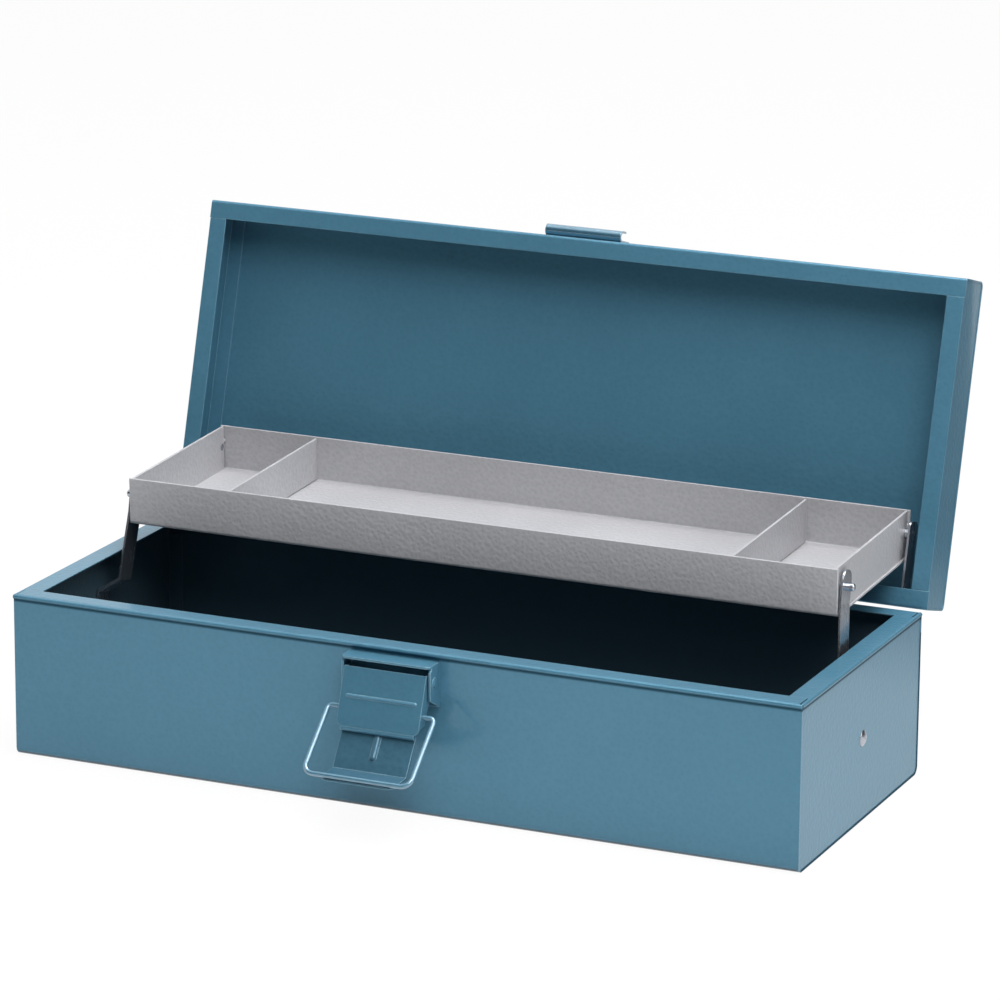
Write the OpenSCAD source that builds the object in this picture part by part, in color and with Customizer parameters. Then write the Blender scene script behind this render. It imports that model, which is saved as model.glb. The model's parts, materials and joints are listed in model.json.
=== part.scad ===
// Single-tray cantilever tool box in sheet steel, drawn open with the tray lifted.
// Origin: centre of the body's flat underside. X runs along the box, +Y is the hinge side, +Z is up.

/* [Box] */
// Outer width of body and lid
box_w = 400; // [380:1:430]
// Outer depth of body and lid
box_d = 158; // [156:1:164]
// Height of the body to its rim
box_h = 80; // [79:0.5:84]
// Height of the lid from its rim to its top
lid_h = 25; // [25:0.5:30]
// Sheet thickness of body and lid
sheet_t = 0.8; // [0.7:0.1:1]
// Outer bend radius along the bottom edges of the body
bottom_r = 4; // [2:0.5:6]
// Outer bend radius along the top edges of the lid
lid_r = 3; // [2:0.5:5]
// Outer bend radius of the rim folds
rim_r = 1.5; // [1.2:0.1:2]
// Width of the body's rim flange
body_rim = 10; // [8:0.5:10]
// Width of the lid's rim flange
lid_rim = 9; // [7:0.5:9]
// Space between the two rims when the lid is shut
lid_gap = 0.4; // [0.3:0.1:0.8]
// Width of the weld flanges on the end panels
weld_flange = 8; // [6:0.5:10]
// Set-back of the end panels behind the shell's edge
end_recess = 0.3; // [0.2:0.1:0.6]
// Radius of the bead under the body's rim
bead_r = 1.1; // [0.9:0.1:1.2]
// How far the bead stands out of the wall
bead_out = 0.9; // [0.5:0.1:1]

/* [Hinge] */
// Opening angle of the lid
lid_open = 106; // [104:0.5:107]
// Hinge axis behind the rear wall
hinge_back = 3; // [3:0.1:3.4]
// Hinge axis below the body's rim
hinge_drop = 3.2; // [3:0.1:3.6]
// Middle of each hinge from the end of the box
hinge_in = 80; // [60:1:110]
// Length of a hinge along its pin
hinge_w = 50; // [40:1:60]
// Length of the lid's middle knuckle
hinge_mid = 20; // [14:1:24]
// Thickness of the hinge leaves
leaf_t = 1; // [0.8:0.1:1.2]
// Height of a hinge leaf
leaf_h = 18; // [14:0.5:20]
// Outer radius of the hinge knuckles
knuckle_r = 2.7; // [2.5:0.1:2.7]
// Hinge pin diameter
hinge_pin_d = 2.9; // [2.6:0.1:3]
// Space beside and behind a turning knuckle
knuckle_gap = 0.4; // [0.3:0.1:0.5]

/* [Tray] */
// Distance from the box's outer end to the tray's shell
tray_side = 16.5; // [16:0.1:18]
// Tray height
tray_h = 23.2; // [22:0.1:24]
// Tray sheet thickness
tray_t = 1; // [0.8:0.1:1]
// Outer bend radius along the tray's bottom edges
tray_r = 1.8; // [1.2:0.1:3]
// Pin height above the tray's underside
pin_up = 12.7; // [11.5:0.1:13]
// Front pin behind the tray's front face
front_inset = 8.5; // [7:0.1:9.5]
// Rear pin in front of the tray's rear face
rear_inset = 3.8; // [3.6:0.1:5]
// Distance from the tray's end to its divider
divider_in = 52.5; // [35:0.5:90]
// Tilt of the lifted tray, rear edge up
tray_tilt = 2; // [0:0.1:3]
// Tilt of the stowed tray, front edge up
stow_tilt = 2.8; // [1.5:0.1:3]
// Set-back of the tray's end panels behind its shell
tray_set = 1; // [0.6:0.1:1.5]
// Open slit between an end panel and the rear wall
tray_slit = 1; // [0.6:0.1:1.4]
// Space under the dividers
divider_lift = 0.5; // [0.3:0.1:1]

/* [Linkage] */
// Distance between the tray's front and rear pins
pin_span = 86.6; // [85.6:0.1:87.6]
// Rear pin in front of the lid's rear face, lid shut
rear_pin_s = 35; // [34:0.1:36]
// Rear pin above the body's rim, lid shut
rear_pin_n = 7.5; // [7.5:0.1:9]
// Front arm's pivot below the body's rim
arm_drop = 40; // [38:0.5:42]
// Width of the front arms
arm_w = 12; // [11:0.5:13]
// Width of the rear straps
strap_w = 11; // [9:0.5:11]
// Thickness of arms and straps
arm_t = 1; // [0.9:0.1:1.2]
// Space between the tray's shell and a front arm
arm_gap = 0.5; // [0.4:0.1:0.8]
// Space between the tray's shell and a rear strap
strap_gap = 1.8; // [1.6:0.1:2]
// Reach of an arm's rounded end past its pin
arm_over = 2; // [1:0.1:3]
// Outward splay of a front arm between tray and joggle
arm_splay = 2.5; // [1.5:0.1:3]
// Start of the joggle, from the body pivot
joggle_low = 19.5; // [18:0.5:21]
// End of the joggle, from the body pivot
joggle_high = 26.8; // [26:0.2:28]
// Space between an arm's lower end and the body end
wall_gap = 0.5; // [0.4:0.1:0.6]
// Tray pin diameter
tray_pin_d = 3.8; // [3.4:0.1:4]
// How far a front tray pin stands past its arm
pin_past = 3.9; // [2.4:0.1:4]
// How far a rear tray pin stands past its strap
pin_end = 0.3; // [0.2:0.1:1]
// Radial clearance of every turning fit
fit_gap = 0.05; // [0.03:0.01:0.08]
// Rivet shank diameter
rivet_d = 4; // [3.5:0.1:4.5]
// Rivet head diameter
rivet_head_d = 8; // [7:0.1:9]
// Rivet head height
rivet_head_h = 1.4; // [1:0.1:1.8]
// Length of the strap's foot along the lid's rear wall
foot_l = 14; // [12:0.5:18]

/* [Latch] */
// Half width of the latch bracket
hood_half = 22.6; // [22.4:0.1:23]
// Top of the latch bracket below the body's rim
hood_drop = 3.6; // [3:0.1:4.5]
// Height of the latch bracket on the wall
hood_h = 21.7; // [21:0.1:22.5]
// Reach of the bracket from the wall
hood_out = 10.9; // [10.8:0.1:12]
// Sheet thickness of the latch parts
latch_t = 1.1; // [1:0.1:1.2]
// Lever pivot in front of the wall
lever_out = 6; // [5.8:0.1:6.2]
// Lever pivot below the body's rim
lever_drop = 12.3; // [12:0.1:13]
// Lever pivot pin diameter
latch_pin_d = 4; // [3.5:0.1:4.2]
// Tilt of the lever out of the upright at rest
lever_tilt = 19; // [17:0.5:21]
// Half width of the lever's outer plate
flap_half = 20.8; // [20.2:0.1:21]
// Half width of the tongue
tongue_half = 18.6; // [16:0.1:18.8]
// Wire diameter of the bail
bail_d = 2.4; // [2:0.1:2.4]
// Half width of the bail
bail_half = 26.9; // [26.4:0.1:28]
// Length of the bail from its pivot to its bar
bail_l = 37; // [36.8:0.1:37.2]
// Swing of the bail out of the upright at rest
bail_tilt = 48.5; // [48.5:0.5:51]
// Half width of the lid's catch
catch_half = 20; // [16:0.5:21]
// Inner radius of the catch's hook
catch_r = 1.8; // [1.6:0.1:2]

/* [Handle] */
// Handle bar diameter
handle_d = 6; // [5:0.1:6.5]
// Half width of the handle between its legs' centres
handle_half = 56; // [52:1:70]
// Length from the handle's pivot to its grip
handle_l = 36; // [32:0.5:40]
// Sheet thickness of the saddles
saddle_t = 1.2; // [1:0.1:1.5]
// Length of a saddle along the pivot
saddle_w = 13; // [10:0.5:14]
// Length of a saddle's foot
saddle_foot = 9; // [7:0.5:12]

/* [Hidden] */
$fn = 40;
paint = [0.31, 0.48, 0.58];
tray_grey = [0.62, 0.62, 0.64];
zinc = [0.8, 0.8, 0.82];
steel = [0.7, 0.7, 0.72];

// How far a cutter runs past the face it opens
cut = 1;
// Half length of a cutter for a hole through one sheet
bore_l = 5;
// Space where two flanges butt
butt_gap = 0.1;
// Smallest inner bend radius
least_r = 0.3;
// Corner radius of straps, hood and lever plate
corner_r = 3;
// How much wider than its pin a head or collar is, each side
collar = 0.7;

function turn(p, a) = [p.x * cos(a) - p.y * sin(a), p.x * sin(a) + p.y * cos(a)];

half_w = box_w / 2;
half_d = box_d / 2;
lid_z = box_h + lid_gap;
lid_top = lid_z + lid_h;
end_x = half_w - end_recess;
hinge = [half_d + hinge_back, box_h - hinge_drop];
hinge_x = half_w - hinge_in;
hinge_head = 1;
leaf_lap = 5;

// Lift linkage: the tray tilts by stow_tilt with the lid shut and by tray_tilt with the lid open.
// The arm's body pivot lies where the front pin is equally far away in both positions.
arm_pivot_z = box_h - arm_drop;
rear_shut = [half_d - rear_pin_s, box_h + rear_pin_n];
front_shut = rear_shut + turn([-pin_span, 0], -stow_tilt);
rear_pin = hinge + turn(rear_shut - hinge, -lid_open);
front_pin = rear_pin + turn([-pin_span, 0], tray_tilt);
up_open = front_pin.y - arm_pivot_z;
up_shut = front_shut.y - arm_pivot_z;
open_sq = front_pin.x * front_pin.x + up_open * up_open;
shut_sq = front_shut.x * front_shut.x + up_shut * up_shut;
arm_pivot = [(open_sq - shut_sq) / (2 * (front_pin.x - front_shut.x)), arm_pivot_z];
arm_reach = front_pin - arm_pivot;
arm_l = norm(arm_reach);
arm_lean = atan2(arm_reach.x, arm_reach.y);

tray_half = half_w - tray_side;
tray_end_x = tray_half - tray_set;
divider_x = tray_half - divider_in;
tray_y0 = -pin_span - front_inset;
tray_y1 = rear_inset;
tray_z0 = -pin_up;
tray_z1 = tray_h - pin_up;
arm_x = tray_half + arm_gap;
strap_x = tray_half + strap_gap;
arm_low_x = end_x - sheet_t - wall_gap - arm_t;
tray_flange = 8;
flange_low = 0.6;
divider_low = 0.8;
tack_d = 2;
tack_z = 3;
pin_wall = 0.5;
pin_bevel = 0.5;
collar_gap = 0.4;
strap_over = 4;

// Latch, in the lever's own upright frame about its pivot.
hood_z = box_h - hood_drop;
lever_pin = [-half_d - lever_out, box_h - lever_drop];
flap_y = -5.7;
flap_top = 2.6;
flap_low = -25.2;
ear_r = 4;
ear_mid = [0.6, -14];
ear_low = [0.2, -20];
line_d = 1.6;
line_half = 17;
line_z = -11;
line_in = 0.1;
lip_r = 1.4;
lip_down = 0.7;
lip_gap = 0.1;
lip_at = [flap_y + lip_r, flap_low - lip_down];
bail_hole = [-3, -16.2];
bail_pin = lever_pin + turn(bail_hole, -lever_tilt);
tongue_top = flap_y + latch_t;
tongue_mid = lip_at.x + lip_r + lip_gap;
tongue_t = 1.25;
tongue_up = -19.5;
tongue_bend = -22.6;
tongue_behind = -24.6;
tongue_below = -26.6;
tongue_tip = [-7.6, -44.4];
ledge_tip = [-21.05, -50.05];
ledge_t = 0.9;
ledge_r = 4;
ledge_lap = 0.5;
rib_r = 1.9;
rib_in = 0.8;
rib_from = 0.12;
rib_part = 0.52;
cheek_in = 1;
cheek_slant = 5.3;
latch_head = 0.8;
wire_in = 1;
bail_top_r = 2.6;
bail_r = 5;
catch_lip = 4;
catch_h = 9;

// Where the bail's bar lies in the catch with the lever down
catch_dy = -half_d - latch_t - catch_r - bail_pin.x;
bail_catch = [bail_pin.x + catch_dy, bail_pin.y + sqrt(bail_l * bail_l - catch_dy * catch_dy)];

handle_gap = 0.2;
handle_top_r = 6;
handle_r = 10;
saddle_in = 7;
handle_axis = lid_top + handle_d / 2 + saddle_t + handle_gap;
handle_at = hinge + turn([0, handle_axis] - hinge, -lid_open);
saddle_r = handle_d / 2 + fit_gap;
saddle_x = handle_half - saddle_in - saddle_w;

// A YZ profile carried along X
module along(x0, x1) {
  translate([x0, 0, 0]) rotate([90, 0, 90]) linear_extrude(x1 - x0) children();
}

// A round bar along X through p = [y, z]
module rod(d, x0, x1, p) {
  translate([x0, p.x, p.y]) rotate([0, 90, 0]) cylinder(d = d, h = x1 - x0);
}

// A hole along X through the sheet at x
module bore(d, x, p) {
  rod(d, x - bore_l, x + bore_l, p);
}

// A domed head standing on the YZ plane and facing +X
module dome(d, h) {
  r = (d * d / 4 + h * h) / (2 * h);
  rotate([0, 90, 0]) intersection() {
    translate([0, 0, h - r]) sphere(r = r);
    cylinder(d = d, h = h);
  }
}

// Both ends of the box from the right-hand one
module both() {
  children();
  mirror([1, 0, 0]) children();
}

module left() {
  mirror([1, 0, 0]) children();
}

module lid_pose() {
  translate([0, hinge.x, hinge.y]) rotate([-lid_open, 0, 0]) translate([0, -hinge.x, -hinge.y]) children();
}

module tray_pose() {
  translate([0, rear_pin.x, rear_pin.y]) rotate([tray_tilt, 0, 0]) children();
}

module arm_pose() {
  translate([0, arm_pivot.x, arm_pivot.y]) rotate([-arm_lean, 0, 0]) children();
}

module lever_pose() {
  translate([0, lever_pin.x, lever_pin.y]) rotate([-lever_tilt, 0, 0]) children();
}

// Rectangle on the 2D x axis with bottom corner radius rb and top corner radius rt
module round_rect(d, h, rb, rt) {
  translate([-d / 2, rb]) square([d, h - rb - rt]);
  translate([-d / 2 + rb, 0]) square([d - 2 * rb, h / 2]);
  translate([-d / 2 + rt, h / 2]) square([d - 2 * rt, h / 2]);
  for (s = [-1, 1]) {
    translate([s * (d / 2 - rb), rb]) circle(r = rb);
    translate([s * (d / 2 - rt), h - rt]) circle(r = rt);
  }
}

// Folded sheet channel, open at the top, with a flange along each wall
module channel(d, h, rb, rt, rim) {
  difference() {
    round_rect(d, h, rb, rt);
    translate([0, sheet_t]) round_rect(d - 2 * sheet_t, h - 2 * sheet_t, rb - sheet_t, rt - sheet_t);
    translate([-d / 2 + rim, h / 2]) square([d - 2 * rim, h]);
  }
}

// The outline that fits inside such a channel, shrunk by e
module inside(d, h, rb, rt, e) {
  s = sheet_t + e;
  translate([0, s]) round_rect(d - 2 * s, h - 2 * s, max(rb - s, least_r), max(rt - s, least_r));
}

module body_shell() {
  bead_cut = 2 * bead_r + butt_gap;
  color(paint) difference() {
    along(-half_w, half_w) {
      channel(box_d, box_h, bottom_r, rim_r, body_rim);
      translate([-half_d + bead_r - bead_out, box_h - bead_r]) circle(r = bead_r);
    }
    both() translate([end_x + bead_out - bead_cut, -half_d + sheet_t, box_h - bead_cut])
      cube([body_rim, box_d - 2 * sheet_t, body_rim]);
  }
}

// One end panel of a channel: a face with weld flanges, a rim flange between the shell's flanges
module end_panel(h, rb, rim) {
  butt = box_d - 2 * rim - 2 * butt_gap;
  difference() {
    along(end_x - weld_flange, end_x) inside(box_d, h, rb, rim_r, 0);
    along(end_x - weld_flange - cut, end_x - sheet_t) inside(box_d, h, rb, rim_r, sheet_t);
    translate([end_x - weld_flange - cut, -half_d, h - rim])
      cube([weld_flange + cut - sheet_t, box_d, rim]);
  }
  translate([end_x - sheet_t, -butt / 2, h / 2]) cube([sheet_t, butt, h / 2]);
  translate([half_w - rim, -butt / 2, h - sheet_t]) cube([rim - end_recess, butt, sheet_t]);
}

module body_end() {
  color(paint) difference() {
    union() {
      end_panel(box_h, bottom_r, body_rim);
      translate([end_x + bead_out - bead_r, -half_d + sheet_t, box_h - bead_r])
        rotate([-90, 0, 0]) cylinder(r = bead_r, h = box_d - 2 * sheet_t);
    }
    bore(rivet_d, end_x, arm_pivot);
  }
}

module body_end_right() {
  body_end();
}

module body_end_left() {
  left() body_end();
}

module lid_shell() {
  color(paint) lid_pose() along(-half_w, half_w) translate([0, lid_top]) mirror([0, 1])
    channel(box_d, lid_h, lid_r, rim_r, lid_rim);
}

module lid_end() {
  color(paint) lid_pose() translate([0, 0, lid_top]) mirror([0, 0, 1])
    end_panel(lid_h, lid_r, lid_rim);
}

module lid_end_right() {
  lid_end();
}

module lid_end_left() {
  left() lid_end();
}

// Hook with its trough open towards the lid's top
module lid_catch() {
  r = catch_r + latch_t;
  color(paint) lid_pose() along(-catch_half, catch_half) translate(bail_catch) {
    difference() {
      circle(r = r);
      circle(r = catch_r);
      translate([-2 * r, 0]) square([4 * r, 2 * r]);
    }
    translate([-r, 0]) square([latch_t, catch_lip]);
    translate([catch_r, 0]) square([latch_t, catch_h]);
  }
}

module knuckle(x0, x1, hole) {
  difference() {
    children();
    rod(hole, x0 - cut, x1 + cut, hinge);
  }
}

module hinge_body_leaf() {
  side = hinge_w / 2;
  mid = hinge_mid / 2;
  color(steel) translate([hinge_x, 0, 0]) knuckle(-side, side, hinge_pin_d) {
    translate([-side, half_d, hinge.y - leaf_h]) cube([hinge_w, leaf_t, leaf_h - knuckle_r - knuckle_gap]);
    for (s = [[-side, -mid], [mid, side]]) {
      translate([s[0], half_d, hinge.y - leaf_h]) cube([s[1] - s[0], leaf_t, leaf_h]);
      rod(2 * knuckle_r, s[0], s[1], hinge);
    }
  }
}

module hinge_lid_leaf() {
  side = hinge_w / 2;
  mid = hinge_mid / 2 - knuckle_gap;
  thin = leaf_t - knuckle_gap;
  low = hinge.y + knuckle_r + knuckle_gap;
  color(steel) lid_pose() translate([hinge_x, 0, 0]) knuckle(-side, side, hinge_pin_d + 2 * fit_gap) {
    translate([-side, half_d, max(low, lid_z + rim_r)])
      cube([hinge_w, leaf_t, lid_z + leaf_h - max(low, lid_z + rim_r)]);
    translate([-mid, half_d + leaf_t - thin, hinge.y]) cube([2 * mid, thin, low + leaf_lap - hinge.y]);
    rod(2 * knuckle_r, -mid, mid, hinge);
  }
}

module hinge_pin() {
  side = hinge_w / 2;
  color(steel) translate([hinge_x, 0, 0]) {
    rod(hinge_pin_d, -side - hinge_head, side + hinge_head, hinge);
    for (x = [-side - hinge_head, side]) rod(hinge_pin_d + 2 * collar, x, x + hinge_head, hinge);
  }
}

module hinge_body_leaf_right() {
  hinge_body_leaf();
}

module hinge_body_leaf_left() {
  left() hinge_body_leaf();
}

module hinge_lid_leaf_right() {
  hinge_lid_leaf();
}

module hinge_lid_leaf_left() {
  left() hinge_lid_leaf();
}

module hinge_pin_right() {
  hinge_pin();
}

module hinge_pin_left() {
  left() hinge_pin();
}

// Solid outline of the tray, shrunk by e and open upwards
module tray_outline(e) {
  y0 = tray_y0 + e;
  y1 = tray_y1 - e;
  z0 = tray_z0 + e;
  r = tray_r - e;
  top = tray_z1 + (e > 0 ? cut : 0);
  translate([y0, z0 + r]) square([y1 - y0, top - z0 - r]);
  translate([y0 + r, z0]) square([y1 - y0 - 2 * r, 2 * r]);
  for (y = [y0 + r, y1 - r]) translate([y, z0 + r]) circle(r = r);
}

module tray_shell() {
  color(tray_grey) tray_pose() along(-tray_half, tray_half) difference() {
    tray_outline(0);
    tray_outline(tray_t);
  }
}

module tray_end() {
  y0 = tray_y0 + tray_t;
  y1 = tray_y1 - tray_t - tray_slit;
  z0 = tray_z0 + tray_t;
  color(tray_grey) tray_pose() difference() {
    union() {
      along(tray_end_x - tray_t, tray_end_x) intersection() {
        tray_outline(tray_t);
        translate([y0, z0]) square([y1 - y0, tray_h - tray_t]);
      }
      translate([tray_end_x - tray_flange, y0, z0 + tray_r])
        cube([tray_flange, tray_t, tray_h - tray_t - tray_r - flange_low]);
      translate([tray_end_x - tray_t / 2, y1, tack_z]) rotate([-90, 0, 0])
        cylinder(d = tack_d, h = tray_slit);
      along(tray_end_x - tray_t, tray_end_x) circle(d = tray_pin_d + 2 * pin_wall);
    }
    for (y = [0, -pin_span]) bore(tray_pin_d, tray_end_x, [y, 0]);
  }
}

module tray_end_right() {
  tray_end();
}

module tray_end_left() {
  left() tray_end();
}

module tray_divider() {
  y0 = tray_y0 + tray_t;
  color(tray_grey) tray_pose() {
    along(divider_x - tray_t, divider_x) translate([y0, tray_z0 + tray_t + divider_lift])
      square([tray_y1 - tray_t - y0, tray_h - tray_t - divider_lift - divider_low]);
  }
}

module tray_divider_right() {
  tray_divider();
}

module tray_divider_left() {
  left() tray_divider();
}

// Stub pin with a collar between the tray and the arm at x, standing past that arm
module tray_pin(y, x, past) {
  tip = x + arm_t + past;
  rod(tray_pin_d, tray_end_x - tray_t, tip - pin_bevel, [y, 0]);
  translate([tip - pin_bevel, y, 0]) rotate([0, 90, 0])
    cylinder(d1 = tray_pin_d, d2 = tray_pin_d - 2 * pin_bevel, h = pin_bevel);
  rod(tray_pin_d + 2 * collar, tray_end_x, x - collar_gap, [y, 0]);
}

module tray_front_pins() {
  color(zinc) tray_pose() both() tray_pin(-pin_span, arm_x, pin_past);
}

module tray_rear_pins() {
  color(zinc) tray_pose() both() tray_pin(0, strap_x, pin_end);
}

// Flat strap of width w along the 2D y axis from 0 to l, with round ends
module strap(w, l) {
  translate([-w / 2, 0]) square([w, l]);
  circle(d = w);
  translate([0, l]) circle(d = w);
}

// Side of the front arm: foot on the body end, joggle, splayed length, flat head on the tray
module arm_side() {
  a = arm_low_x;
  b = arm_x + arm_splay;
  c = arm_x;
  head = arm_l - arm_w / 2 - arm_over;
  far = arm_l + 2 * arm_w;
  bend = 0.6 * arm_t;
  polygon([
    [a, -arm_w], [a + arm_t, -arm_w], [a + arm_t, joggle_low + bend], [b + arm_t, joggle_high + bend],
    [c + arm_t, head], [c + arm_t, far], [c, far], [c, head],
    [b, joggle_high - bend], [a, joggle_low - bend]
  ]);
}

module front_arm() {
  color(zinc) arm_pose() difference() {
    intersection() {
      along(0, half_w) strap(arm_w, arm_l + arm_over);
      translate([0, arm_w, 0]) rotate([90, 0, 0]) linear_extrude(2 * arm_w) arm_side();
    }
    bore(tray_pin_d + 2 * fit_gap, arm_x, [0, arm_l]);
    bore(rivet_d, arm_low_x, [0, 0]);
  }
}

module front_arm_right() {
  front_arm();
}

module front_arm_left() {
  left() front_arm();
}

module front_arm_rivet() {
  color(steel) {
    rod(rivet_d, arm_low_x, arm_low_x + arm_t, arm_pivot);
    translate([arm_low_x, arm_pivot.x, arm_pivot.y]) mirror([1, 0, 0]) dome(rivet_head_d, rivet_head_h);
  }
}

module front_arm_rivet_right() {
  front_arm_rivet();
}

module front_arm_rivet_left() {
  left() front_arm_rivet();
}

module arm_wall_rivets() {
  color(steel) both() {
    rod(rivet_d, end_x - sheet_t, end_x, arm_pivot);
    translate([end_x, arm_pivot.x, arm_pivot.y]) dome(rivet_head_d, rivet_head_h);
  }
}

// Strap fixed to the lid: end with rounded corners on the tray's rear pin, foot on the lid's rear wall
module rear_arm() {
  wall = half_d - sheet_t;
  front = rear_shut.x - tray_pin_d / 2 - strap_over;
  low = rear_shut.y - strap_w / 2;
  color(zinc) lid_pose() difference() {
    union() {
      along(strap_x, strap_x + arm_t) {
        translate([front + corner_r, low]) square([wall - front - corner_r, strap_w]);
        translate([front, low + corner_r]) square([2 * corner_r, strap_w - 2 * corner_r]);
        for (z = [low + corner_r, low + strap_w - corner_r])
          translate([front + corner_r, z]) circle(r = corner_r);
      }
      translate([strap_x - foot_l, wall - arm_t, low]) cube([foot_l + arm_t, arm_t, strap_w]);
    }
    bore(tray_pin_d + 2 * fit_gap, strap_x, rear_shut);
  }
}

module rear_arm_right() {
  rear_arm();
}

module rear_arm_left() {
  left() rear_arm();
}

// Plate from y0 to y1 whose two corners at y0 are rounded
module rounded(half, y0, y1, r) {
  translate([-half, y0 + r]) square([2 * half, y1 - y0 - r]);
  translate([-half + r, y0]) square([2 * half - 2 * r, 2 * r]);
  for (x = [-half + r, half - r]) translate([x, y0 + r]) circle(r = r);
}

// Hood bent from one sheet: top, two cheeks with slanted lower edges, back plate
module latch_bracket() {
  front = -half_d - hood_out;
  top = hood_z - latch_t / 2;
  low = hood_z - hood_h;
  color(paint) difference() {
    union() {
      translate([0, -half_d, hood_z - latch_t]) linear_extrude(latch_t)
        rounded(hood_half, -hood_out, 0, corner_r);
      both() along(hood_half - latch_t, hood_half) polygon([
        [-half_d, top], [front + corner_r, top], [front + cheek_in, hood_z - corner_r],
        [front + cheek_in, low + cheek_slant], [-half_d, low]
      ]);
      translate([-hood_half, -half_d - latch_t, low]) cube([2 * hood_half, latch_t, top - low]);
    }
    rod(latch_pin_d, -box_w, box_w, lever_pin);
  }
}

module latch_pin() {
  color(steel) {
    rod(latch_pin_d, -hood_half, hood_half, lever_pin);
    both() translate([hood_half, lever_pin.x, lever_pin.y]) dome(latch_pin_d + 2 * latch_head, latch_head);
  }
}

// Outer plate of the lever with ears, a thin raised line and a rolled lower lip
module latch_flap() {
  inside_y = flap_y + latch_t / 2;
  color(paint) lever_pose() difference() {
    union() {
      translate([0, flap_y + latch_t, 0]) rotate([90, 0, 0]) linear_extrude(latch_t)
        rounded(flap_half, flap_low, flap_top, corner_r);
      both() along(flap_half - latch_t, flap_half) {
        circle(r = ear_r);
        polygon([
          [inside_y, flap_top], [0, ear_r], [ear_r, 0], ear_mid, ear_low, [inside_y, flap_low + corner_r]
        ]);
      }
      rod(line_d, -line_half, line_half, [flap_y + line_in, line_z]);
      for (x = [-line_half, line_half]) translate([x, flap_y + line_in, line_z]) sphere(d = line_d);
      rod(2 * lip_r, -tongue_half, tongue_half, lip_at);
    }
    rod(latch_pin_d + 2 * fit_gap, -box_w, box_w, [0, 0]);
    rod(bail_d + 2 * fit_gap, -box_w, box_w, bail_hole);
  }
}

// Inner plate of the lever: it leaves from behind the lip and ends in a finger ledge
module latch_tongue() {
  back = [tongue_t, 0];
  under = [0, -tongue_t];
  thin = [0, -ledge_t];
  lap = [ledge_lap, 0];
  spine = [
    [tongue_top, tongue_up], [tongue_top, tongue_bend],
    [tongue_mid, tongue_behind], [tongue_mid, tongue_below]
  ];
  slope = tongue_tip - spine[3];
  rib_a = spine[3] + slope * rib_from;
  rib_l = norm(slope) * rib_part;
  color(paint) lever_pose() {
    along(-tongue_half, tongue_half) polygon(concat(
      spine, [tongue_tip, tongue_tip + under, tongue_tip + back + under],
      [for (i = [3:-1:0]) spine[i] + back]
    ));
    intersection() {
      along(-tongue_half, tongue_half)
        polygon([tongue_tip + lap, ledge_tip, ledge_tip + thin, tongue_tip + under + lap]);
      translate([0, 0, 2 * ledge_tip.y]) linear_extrude(-2 * ledge_tip.y)
        rounded(tongue_half, ledge_tip.x, 0, ledge_r);
    }
    translate([0, rib_a.x + rib_in, rib_a.y]) rotate([atan2(-slope.x, slope.y), 0, 0]) {
      cylinder(r = rib_r, h = rib_l);
      for (z = [0, rib_l]) translate([0, 0, z]) sphere(r = rib_r);
    }
  }
}

// Wire loop with turned-in ends on an axis along X, legs towards -Z
module loop(d, x_end, x_leg, l, r1, r2) {
  both() {
    rod(d, x_end, x_leg - r1, [0, 0]);
    translate([x_leg - r1, 0, -r1]) rotate([90, 0, 0]) rotate_extrude(angle = 90)
      translate([r1, 0]) circle(d = d);
    translate([x_leg, 0, r2 - l]) cylinder(d = d, h = l - r1 - r2);
    translate([x_leg - r2, 0, r2 - l]) mirror([0, 0, 1]) rotate([90, 0, 0]) rotate_extrude(angle = 90)
      translate([r2, 0]) circle(d = d);
  }
  rod(d, r2 - x_leg, x_leg - r2, [0, -l]);
}

module latch_bail() {
  color(paint) translate([0, bail_pin.x, bail_pin.y]) rotate([-bail_tilt, 0, 0])
    loop(bail_d, flap_half - latch_t - wire_in, bail_half, bail_l, bail_top_r, bail_r);
}

// Pressed clip over the handle's turned-in end
module handle_saddle() {
  color(paint) lid_pose() along(saddle_x, saddle_x + saddle_w) difference() {
    union() {
      translate([0, handle_axis]) circle(r = saddle_r + saddle_t);
      translate([-saddle_r - saddle_t, lid_top]) square([2 * (saddle_r + saddle_t), handle_axis - lid_top]);
      translate([-saddle_r - saddle_foot, lid_top]) square([2 * (saddle_r + saddle_foot), saddle_t]);
    }
    translate([0, handle_axis]) circle(r = saddle_r);
    translate([-saddle_r, lid_top - cut]) square([2 * saddle_r, handle_axis - lid_top + cut]);
  }
}

module handle_saddle_right() {
  handle_saddle();
}

module handle_saddle_left() {
  left() handle_saddle();
}

module handle_bail() {
  color(zinc) translate([0, handle_at.x, handle_at.y])
    loop(handle_d, saddle_x - wire_in, handle_half, handle_l, handle_top_r, handle_r);
}

body_shell();
body_end_left();
body_end_right();
lid_shell();
lid_end_left();
lid_end_right();
lid_catch();
hinge_body_leaf_left();
hinge_body_leaf_right();
hinge_lid_leaf_left();
hinge_lid_leaf_right();
hinge_pin_left();
hinge_pin_right();
tray_shell();
tray_end_left();
tray_end_right();
tray_divider_left();
tray_divider_right();
tray_front_pins();
tray_rear_pins();
front_arm_left();
front_arm_right();
front_arm_rivet_left();
front_arm_rivet_right();
arm_wall_rivets();
rear_arm_left();
rear_arm_right();
latch_bracket();
latch_pin();
latch_flap();
latch_tongue();
latch_bail();
handle_saddle_left();
handle_saddle_right();
handle_bail();
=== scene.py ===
import bpy
import json
import math
from mathutils import Matrix, Vector


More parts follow.
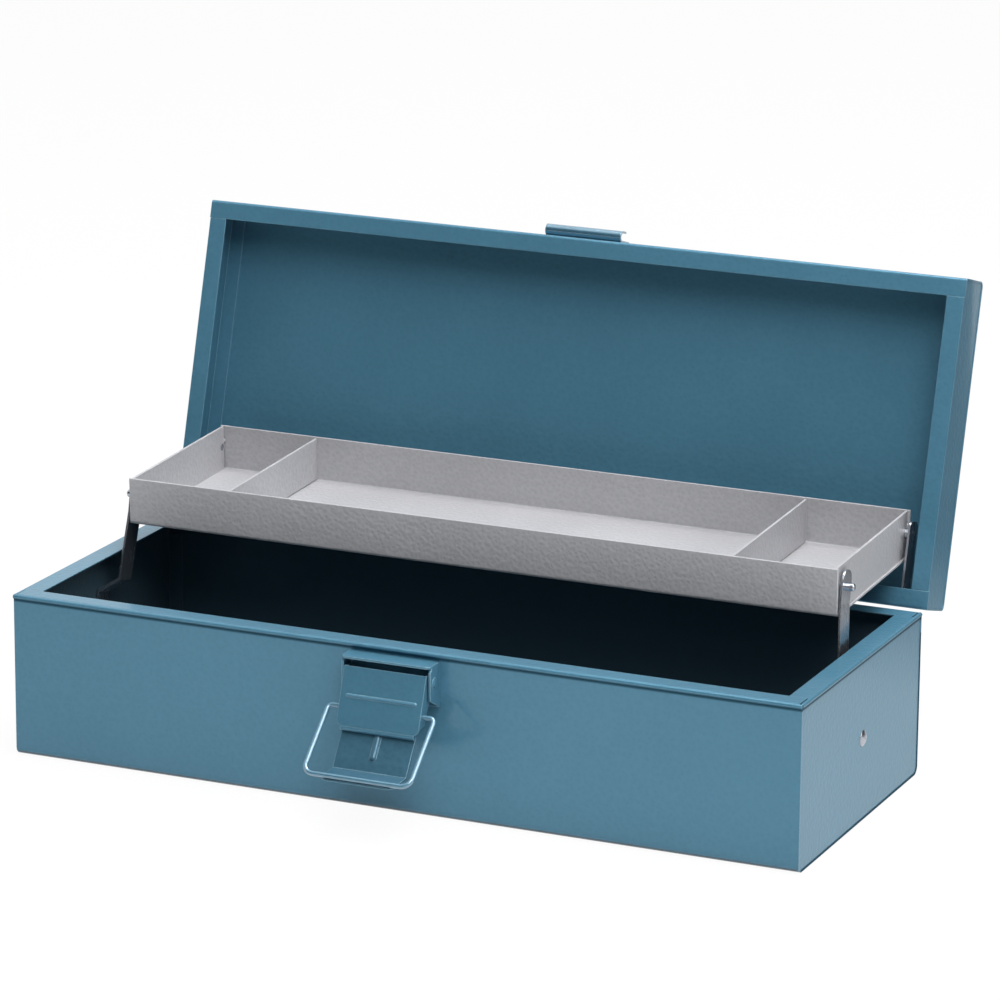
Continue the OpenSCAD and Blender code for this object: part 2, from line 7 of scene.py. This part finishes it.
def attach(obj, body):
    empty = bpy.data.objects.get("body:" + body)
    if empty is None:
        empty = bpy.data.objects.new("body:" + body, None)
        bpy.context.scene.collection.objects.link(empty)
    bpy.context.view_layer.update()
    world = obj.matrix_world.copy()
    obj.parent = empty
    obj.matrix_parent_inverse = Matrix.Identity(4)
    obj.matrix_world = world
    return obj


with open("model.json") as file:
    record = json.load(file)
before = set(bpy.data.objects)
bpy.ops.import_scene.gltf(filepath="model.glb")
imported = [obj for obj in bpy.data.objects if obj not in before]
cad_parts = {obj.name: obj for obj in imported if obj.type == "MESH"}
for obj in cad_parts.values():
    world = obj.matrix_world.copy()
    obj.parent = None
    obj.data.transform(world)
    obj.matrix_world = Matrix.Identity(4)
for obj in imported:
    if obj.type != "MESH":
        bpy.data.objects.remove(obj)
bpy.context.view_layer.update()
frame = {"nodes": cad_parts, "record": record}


def tint(r, g, b):  # screen colour 0-255 to linear
    def line(c):
        c = c / 255
        return c / 12.92 if c <= 0.04045 else ((c + 0.055) / 1.055) ** 2.4
    return (line(r), line(g), line(b), 1)


def grey(level):
    return (level, level, level, 1)


class Wire:  # one node output, so that shader maths reads as sums
    def __init__(self, sheet, out):
        self.sheet, self.out = sheet, out

    def __add__(self, other):
        return self.sheet.maths("ADD", self, other)

    def __radd__(self, other):
        return self.sheet.maths("ADD", other, self)

    def __sub__(self, other):
        return self.sheet.maths("SUBTRACT", self, other)

    def __rsub__(self, other):
        return self.sheet.maths("SUBTRACT", other, self)

    def __mul__(self, other):
        return self.sheet.maths("MULTIPLY", self, other)

    def __rmul__(self, other):
        return self.sheet.maths("MULTIPLY", other, self)


class Sheet:  # a material, world or geometry tree that grows node by node
    def __init__(self, tree):
        self.tree = tree
        tree.nodes.clear()

    def node(self, kind, setup=None, feed=None, out=0):
        made = self.tree.nodes.new(kind)
        for name, value in (setup or {}).items():
            setattr(made, name, value)
        for name, value in (feed or {}).items():
            if isinstance(value, Wire):
                self.tree.links.new(value.out, made.inputs[name])
            else:
                made.inputs[name].default_value = value
        return Wire(self, made.outputs[out]) if len(made.outputs) else made

    def maths(self, operation, a, b=0.0, clamp=False):
        return self.node("ShaderNodeMath", {"operation": operation, "use_clamp": clamp}, {0: a, 1: b})

    def mix(self, factor, a, b):
        return self.node("ShaderNodeMix", {"data_type": "RGBA"}, {0: factor, 6: a, 7: b}, 2)

    def limit(self, value):
        return self.maths("ADD", value, 0.0, True)

    def over(self, value, low):
        return self.maths("GREATER_THAN", value, low)

    def under(self, value, high):
        return self.maths("LESS_THAN", value, high)

    def within(self, value, low, high):
        return self.over(value, low) * self.under(value, high)

    def noise(self, place, scale, detail, out=0):
        feed = {"Vector": place, "Scale": scale, "Detail": detail}
        return self.node("ShaderNodeTexNoise", feed=feed, out=out)

    def split(self, vector):
        parts = self.node("ShaderNodeSeparateXYZ", feed={0: vector}).out.node
        return [Wire(self, socket) for socket in parts.outputs]

    def backdropRay(self):  # rays that show the backdrop as such
        kinds = ("Is Camera Ray", "Is Glossy Ray", "Is Transmission Ray")
        camera, gloss, passed = (self.node("ShaderNodeLightPath", out=kind) for kind in kinds)
        return self.limit(camera + gloss + passed)

    def surface(self, shader):
        self.node("ShaderNodeOutputMaterial", feed={"Surface": shader})


def newMaterial(name):
    made = bpy.data.materials.new(name)
    made.use_nodes = True
    return made, Sheet(made.node_tree)


# enamel that pulls itself into small hammered cells while it dries
blueEnamel = {
    # the pale edge tone on this line is partly wear and partly a painted highlight along the edges
    "colour": tint(78, 125, 148), "deep": tint(69, 114, 136), "wearAndSheen": tint(150, 184, 198),
    "cells": 420, "cellSoft": 0.7, "wander": 260, "drift": 0.0022, "grain": 1500, "clouds": 16,
    "cellMid": 0.32, "cellTone": 0.55, "cloudTone": 0.7, "grainTone": 0.25,
    "bump": 0.42, "depth": 0.0003, "cellRelief": 0.8, "grainRelief": 0.2,
    "rough": 0.33, "roughMid": 0.35, "roughSpread": 0.12, "cloudRough": 0.12,
    "metal": 0.32, "gloss": 0.08, "coat": 0.45, "coatRough": 0.08, "coatIor": 1.5,
    "edge": 0.0005, "edgeWearAndSheen": 2.2, "leastWearAndSheen": 0.3, "insideShade": None, "seamShade": None,
}
# the tray's near-white edge lines are partly wear and partly a painted highlight
greyEnamel = dict(
    blueEnamel, colour=tint(181, 181, 184), deep=tint(155, 155, 159), wearAndSheen=tint(244, 244, 246),
    cells=520, bump=0.65, rough=0.42, roughSpread=0.16,
    metal=0.15, gloss=0.5, coat=0.12, coatRough=0.28, edgeWearAndSheen=3.2,
)
# painted shade: the inside of the body is darkened, and a dark crease is painted under the rim's bead
# and along the cut edge of the shell, under and behind the end panels
bodyEnamel = dict(blueEnamel, insideShade={
    "x": 0.1992, "y": 0.0785, "low": 0.0005, "high": 0.0795, "tone": tint(66, 79, 86), "share": 0.8,
}, seamShade={
    "at": 0.0775, "half": 0.0012, "cutX": 0.1997, "cutY": -0.0765, "cutZ": 0.07,
    "tone": tint(22, 52, 67), "share": 0.85,
})
# wire and catch run smooth and shiny, the latch's edges get a stronger lightening that is partly wear
# and partly painted highlight, and the tongue's colour is darkened as painted shade from the lever
wireEnamel = dict(blueEnamel, coat=1.0, coatRough=0.07, coatIor=1.9, gloss=0.5, bump=0.15)
catchEnamel = dict(wireEnamel, metal=0.6, coatRough=0.2, coatIor=2.2)
latchEnamel = dict(blueEnamel, edge=0.0006, edgeWearAndSheen=5.0)
tongueShadedEnamel = dict(latchEnamel, colour=tint(69, 109, 129), deep=tint(56, 93, 112))


def hammerEnamel(name, look):
    made, s = newMaterial(name)
    place = s.node("ShaderNodeTexCoord", out="Object")
    wander = s.noise(place, look["wander"], 2, "Color")
    bent = s.node("ShaderNodeVectorMath", {"operation": "MULTIPLY_ADD"},
                  {0: wander, 1: (look["drift"],) * 3, 2: place})
    cells = s.node("ShaderNodeTexVoronoi", {"feature": "SMOOTH_F1"},
                   {"Vector": bent, "Scale": look["cells"], "Smoothness": look["cellSoft"]}, "Distance")
    grain = s.noise(place, look["grain"], 3)
    clouds = s.noise(place, look["clouds"], 3)
    soft = s.node("ShaderNodeBevel", {"samples": 4}, {"Radius": look["edge"]})
    flat = s.node("ShaderNodeNewGeometry", out="Normal")
    turn = s.node("ShaderNodeVectorMath", {"operation": "DOT_PRODUCT"}, {0: soft, 1: flat}, 1)
    # edges are lightened towards the pale edge tone: partly wear, partly a painted highlight
    rubbedAndSheen = s.limit((1 - turn) * look["edgeWearAndSheen"] * (grain + look["leastWearAndSheen"]))
    tone = s.limit(0.5 + (cells - look["cellMid"]) * look["cellTone"]
                   + (clouds - 0.5) * look["cloudTone"] + (grain - 0.5) * look["grainTone"])
    colour = s.mix(rubbedAndSheen, s.mix(tone, look["deep"], look["colour"]), look["wearAndSheen"])
    insideShade, seamShade = look["insideShade"], look["seamShade"]
    # painted shade: darkens the inside of the body
    if insideShade:
        x, y, z = s.split(place)
        inside = s.within(x, -insideShade["x"], insideShade["x"]) * s.within(y, -insideShade["y"], insideShade["y"])
        inside = inside * s.within(z, insideShade["low"], insideShade["high"])
        colour = s.mix(inside * insideShade["share"], colour, insideShade["tone"])
    rough = s.limit(look["rough"] + (cells - look["roughMid"]) * look["roughSpread"]
                    + (clouds - 0.5) * look["cloudRough"])
    height = cells * look["cellRelief"] + grain * look["grainRelief"]
    bump = s.node("ShaderNodeBump", feed={
        "Strength": look["bump"], "Distance": look["depth"], "Height": height, "Normal": soft})
    shader = s.node("ShaderNodeBsdfPrincipled", feed={
        "Base Color": colour, "Roughness": rough, "Normal": bump, "Metallic": look["metal"],
        "Specular IOR Level": look["gloss"], "Coat Weight": look["coat"],
        "Coat Roughness": look["coatRough"], "Coat IOR": look["coatIor"]})
    # painted shade: a dark matt line under the rim's bead and along the shell's cut edge at the ends
    if seamShade:
        x, y, z = s.split(place)
        off = s.maths("ABSOLUTE", z - seamShade["at"]) * (1 / seamShade["half"])
        cut = s.over(s.maths("ABSOLUTE", x), seamShade["cutX"])
        cut = cut * s.over(y, seamShade["cutY"]) * s.under(z, seamShade["cutZ"])
        crease = s.limit(s.limit(1 - off * off) + cut) * seamShade["share"]
        shadeBsdf = s.node("ShaderNodeBsdfDiffuse", feed={"Color": seamShade["tone"]})
        shader = s.node("ShaderNodeMixShader", feed={0: crease, 1: shader, 2: shadeBsdf})
    s.surface(shader)
    return made


# zinc plating: pale, brushed along the strap, with cloudy passivation
zincPlate = {
    "bright": tint(204, 207, 213), "dull": tint(150, 156, 166), "stain": tint(172, 176, 182),
    "brush": 700, "stretch": (1, 1, 0.06), "clouds": 60,
    "leastTone": 0.08, "cloudTone": 0.9, "brushTone": 0.25, "stainFrom": 0.62, "stainGain": 2.5,
    "rough": 0.25, "brushRough": 0.14, "cloudRough": 0.08,
    "bump": 0.12, "depth": 0.0002, "metal": 0.95, "edge": 0.0003,
}
barZinc = dict(zincPlate, stretch=(0.05, 1, 1), bump=0.05)  # drawn bar, its lines run along it


def platedZinc(name, look):
    made, s = newMaterial(name)
    place = s.node("ShaderNodeTexCoord", out="Object")
    along = s.node("ShaderNodeMapping", feed={"Vector": place, "Scale": look["stretch"]})
    brush = s.noise(along, look["brush"], 2)
    clouds = s.noise(place, look["clouds"], 4)
    soft = s.node("ShaderNodeBevel", {"samples": 4}, {"Radius": look["edge"]})
    tone = s.limit(clouds * look["cloudTone"] + look["leastTone"] + (brush - 0.5) * look["brushTone"])
    stain = s.limit((clouds - look["stainFrom"]) * look["stainGain"])
    colour = s.mix(stain, s.mix(tone, look["dull"], look["bright"]), look["stain"])
    rough = s.limit(look["rough"] + (brush - 0.5) * look["brushRough"]
                    + (clouds - 0.5) * look["cloudRough"])
    bump = s.node("ShaderNodeBump", feed={
        "Strength": look["bump"], "Distance": look["depth"], "Height": brush, "Normal": soft})
    s.surface(s.node("ShaderNodeBsdfPrincipled", feed={
        "Base Color": colour, "Roughness": rough, "Normal": bump, "Metallic": look["metal"]}))
    return made


bluePaint = hammerEnamel("blueHammerEnamel", blueEnamel)
bodyPaint = hammerEnamel("bodyHammerEnamel", bodyEnamel)
wirePaint = hammerEnamel("wireEnamel", wireEnamel)
catchPaint = hammerEnamel("catchEnamel", catchEnamel)
latchPaint = hammerEnamel("latchEnamel", latchEnamel)
tongueShadedPaint = hammerEnamel("tongueShadedEnamel", tongueShadedEnamel)
greyPaint = hammerEnamel("greyHammerEnamel", greyEnamel)
zinc = platedZinc("platedZinc", zincPlate)
handleZinc = platedZinc("handleZinc", barZinc)
finishes = {"blue_paint": bluePaint, "grey_paint": greyPaint, "zinc_steel": zinc}
special = {
    "body_shell": bodyPaint, "body_end_left": bodyPaint, "body_end_right": bodyPaint,
    "latch_bracket": latchPaint, "latch_flap": latchPaint, "latch_tongue": tongueShadedPaint,
    "latch_bail": wirePaint, "lid_catch": catchPaint, "handle_bail": handleZinc,
}
for part in frame["record"]["subparts"]:
    node = frame["nodes"][part["node"]]
    node.data.materials.clear()
    node.data.materials.append(special.get(part["node"], finishes[part["material_slot"]]))

# spot-weld marks: dished buttons that the electrodes left on leaves and feet
weldMark = {
    "radius": 0.0021, "height": 0.00022, "dish": 0.00016, "spread": 0.08, "seed": 7,
    "sides": 20, "rings": 3, "crown": 4, "sink": 0.6,
}


def weldTree():
    tree = bpy.data.node_groups.new("weldMarks", "GeometryNodeTree")
    face = tree.interface
    face.new_socket("Geometry", in_out="INPUT", socket_type="NodeSocketGeometry")
    kinds = {"Radius": "Float", "Height": "Float", "Dish": "Float", "Spread": "Float",
             "Seed": "Int", "Paint": "Material"}
    sockets = {}
    for name, kind in kinds.items():
        socket = face.new_socket(name, in_out="INPUT", socket_type="NodeSocket" + kind)
        sockets[name] = socket.identifier
    face.new_socket("Geometry", in_out="OUTPUT", socket_type="NodeSocketGeometry")
    g = Sheet(tree)
    group = tree.nodes.new("NodeGroupInput")
    given = {socket.name: Wire(g, socket) for socket in group.outputs if socket.name}
    button = g.node("GeometryNodeMeshCylinder", feed={
        "Vertices": weldMark["sides"], "Side Segments": 1, "Fill Segments": weldMark["rings"],
        "Radius": given["Radius"], "Depth": given["Height"]}, out="Mesh")
    x, y, z = g.split(g.node("GeometryNodeInputPosition"))
    outward = g.maths("DIVIDE", g.maths("SQRT", x * x + y * y), given["Radius"])
    ring = outward * outward * (1 - outward) * weldMark["crown"]
    lift = g.over(z, 0.0) * given["Dish"] * (ring - weldMark["sink"])
    shift = g.node("ShaderNodeCombineXYZ", feed={2: lift})
    dished = g.node("GeometryNodeSetPosition", feed={"Geometry": button, "Offset": shift})
    facing = g.node("GeometryNodeInputNamedAttribute", {"data_type": "FLOAT_VECTOR"},
                    {"Name": "facing"})
    turned = g.node("FunctionNodeAlignRotationToVector", {"axis": "Z"}, {"Vector": facing})
    size = g.node("FunctionNodeRandomValue", {"data_type": "FLOAT"}, {
        2: 1 - given["Spread"], 3: 1 + given["Spread"], "Seed": given["Seed"]}, 1)
    placed = g.node("GeometryNodeInstanceOnPoints", feed={
        "Points": given["Geometry"], "Instance": dished, "Rotation": turned, "Scale": size})
    real = g.node("GeometryNodeRealizeInstances", feed={"Geometry": placed})
    painted = g.node("GeometryNodeSetMaterial", feed={"Geometry": real, "Material": given["Paint"]})
    last = tree.nodes.new("NodeGroupOutput")
    tree.links.new(painted.out, last.inputs[0])
    return tree, sockets


def weldMarks(name, spots, body):
    seed = bpy.data.meshes.new(name + "Spots")
    seed.from_pydata([at for at, facing in spots], [], [])
    attribute = seed.attributes.new("facing", "FLOAT_VECTOR", "POINT")
    for i, (at, facing) in enumerate(spots):
        attribute.data[i].vector = facing
    holder = bpy.data.objects.new(name, seed)
    bpy.context.scene.collection.objects.link(holder)
    grower = holder.modifiers.new("marks", "NODES")
    tree, sockets = weldTree()
    grower.node_group = tree
    values = {"Radius": weldMark["radius"], "Height": weldMark["height"], "Dish": weldMark["dish"],
              "Spread": weldMark["spread"], "Seed": weldMark["seed"], "Paint": bluePaint}
    for key, value in values.items():
        grower[sockets[key]] = value
    bpy.context.view_layer.update()
    grown = bpy.data.meshes.new_from_object(holder.evaluated_get(bpy.context.evaluated_depsgraph_get()))
    holder.modifiers.clear()
    holder.data = grown
    holder.data.name = name
    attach(holder, body)
    print(name, len(spots), "marks,", len(grown.polygons), "faces")


# where the marks sit, in the shared frame with the lid shut, in metres
build = {
    "hinge": (0, 0.082, 0.0768), "open": math.radians(106),
    "hingeX": 0.12, "leafFace": 0.08, "leafLow": 0.0632, "lidLeafZ": 0.0935,
    "leafSteps": (-0.018, -0.006, 0.006, 0.018),
    "saddleX": 0.0425, "footY": 0.0098, "footTop": 0.1066, "footSteps": (-0.0035, 0.0035),
    "strapX": 0.1783, "footFace": 0.0772, "strapZ": 0.0875, "strapSteps": (-0.003, 0.003),
}
leftRight = (-1, 1)


def onLid(x, y, z, facing):
    turn = Matrix.Rotation(-build["open"], 3, "X")
    pivot = Vector(build["hinge"])
    return turn @ (Vector((x, y, z)) - pivot) + pivot, turn @ Vector(facing)


bodySpots = [
    (Vector((side * (build["hingeX"] + step), build["leafFace"], build["leafLow"])), Vector((0, 1, 0)))
    for side in leftRight for step in build["leafSteps"]]
lidSpots = [
    onLid(side * (build["hingeX"] + step), build["leafFace"], build["lidLeafZ"], (0, 1, 0))
    for side in leftRight for step in build["leafSteps"]]
lidSpots += [
    onLid(side * build["saddleX"] + step, end * build["footY"], build["footTop"], (0, 0, 1))
    for side in leftRight for end in (-1, 1) for step in build["footSteps"]]
lidSpots += [
    onLid(side * build["strapX"] + step, build["footFace"], build["strapZ"], (0, -1, 0))
    for side in leftRight for step in build["strapSteps"]]
weldMarks("weldMarksBody", bodySpots, "body")
weldMarks("weldMarksLid", lidSpots, "lid")

# stage: pale floor that keeps the shadow, seen near white by the camera
studio = {
    "floor": 12.0, "floorAt": (0, 2, -0.0004), "floorTone": 0.82, "whiten": 0.95, "fill": 0.33,
    "wallTone": 0.03, "walls": {
        "studioWall": {"at": (0, -3.4, 3.0), "wide": 9.0, "high": 6.0, "fade": 0.001, "seen": True},
        "studioCard": {"at": (0.62, 0.2, 0.3), "wide": 0.8, "high": 0.6, "fade": 0.075, "seen": False},
    },
}
white = grey(1)
bpy.ops.mesh.primitive_plane_add(size=studio["floor"], location=studio["floorAt"])
floor = bpy.context.object
floor.name = "studioFloor"
floorPaint, s = newMaterial("studioFloor")
matt = s.node("ShaderNodeBsdfDiffuse", feed={"Color": grey(studio["floorTone"])})
glow = s.node("ShaderNodeEmission", feed={"Color": white, "Strength": 1})
s.surface(s.node("ShaderNodeMixShader", feed={0: s.backdropRay() * studio["whiten"], 1: matt, 2: glow}))
floor.data.materials.append(floorPaint)

# dark room behind the camera and a dark card behind the right end, which the upright paint mirrors;
# the card's foot fades into the pale floor
for name, made in studio["walls"].items():
    wallPaint, s = newMaterial(name)
    dark = s.node("ShaderNodeBsdfDiffuse", feed={"Color": grey(studio["wallTone"])})
    pale = s.node("ShaderNodeEmission", feed={"Color": white, "Strength": 1})
    upward = s.split(s.node("ShaderNodeTexCoord", out="Object"))[1]
    gloss = s.node("ShaderNodeLightPath", out="Is Glossy Ray")
    foot = s.limit(1 - (upward + 0.5) * (made["high"] / made["fade"])) * gloss
    s.surface(s.node("ShaderNodeMixShader", feed={0: foot, 1: dark, 2: pale}))
    bpy.ops.mesh.primitive_plane_add(size=1, location=made["at"], rotation=(math.pi / 2, 0, 0))
    wall = bpy.context.object
    wall.name = name
    wall.scale = (made["wide"], made["high"], 1)
    wall.visible_camera = wall.visible_shadow = made["seen"]
    wall.data.materials.append(wallPaint)

world = bpy.data.worlds.new("studioWorld")
bpy.context.scene.world = world
world.use_nodes = True
s = Sheet(world.node_tree)
level = studio["fill"] + s.backdropRay() * (1 - studio["fill"])
sky = s.node("ShaderNodeBackground", feed={"Color": white, "Strength": level})
s.node("ShaderNodeOutputWorld", feed={"Surface": sky})

lamps = {
    "key": {"at": (0.75, -1.05, 1.75), "aim": (0, 0, 0.1), "size": 1.3, "power": 37},
    "overhead": {"at": (0.2, 0.25, 1.9), "aim": (0, 0, 0.1), "size": 1.2, "power": 38},
    "rightSide": {"at": (1.7, 0.2, 1.1), "aim": (0.1, 0, 0.1), "size": 1.0, "power": 9},
}
for name, lamp in lamps.items():
    light = bpy.data.lights.new(name, "AREA")
    light.shape, light.size, light.energy = "SQUARE", lamp["size"], lamp["power"]
    lampObject = bpy.data.objects.new(name, light)
    lampObject.location = lamp["at"]
    beam = Vector(lamp["aim"]) - Vector(lamp["at"])
    lampObject.rotation_euler = beam.to_track_quat("-Z", "Y").to_euler()
    bpy.context.scene.collection.objects.link(lampObject)
print("studio lit by", len(lamps), "lamps")

# camera fitted to the photographed corners
shot = {
    "at": (0.96366, -2.13081, 0.78327), "forward": (-0.391025, 0.880261, -0.268775),
    "right": (0.913051, 0.407782, 0.007175), "focalPixels": 5162.3, "framePixels": 1000, "sensor": 36,
    "near": 0.05, "far": 60,
}
forward = Vector(shot["forward"]).normalized()
right = Vector(shot["right"])
right = (right - forward * right.dot(forward)).normalized()
up = right.cross(forward)
camera = bpy.data.objects.new("camera", bpy.data.cameras.new("camera"))
camera.data.sensor_width = shot["sensor"]
camera.data.lens = shot["focalPixels"] / shot["framePixels"] * shot["sensor"]
camera.data.clip_start, camera.data.clip_end = shot["near"], shot["far"]
camera.matrix_world = Matrix((right, up, -forward)).transposed().to_4x4()
camera.location = shot["at"]
bpy.context.scene.collection.objects.link(camera)
bpy.context.scene.camera = camera
bpy.context.scene.view_settings.view_transform = "Standard"
print("camera", round(camera.data.lens, 1), "mm")

print("done")
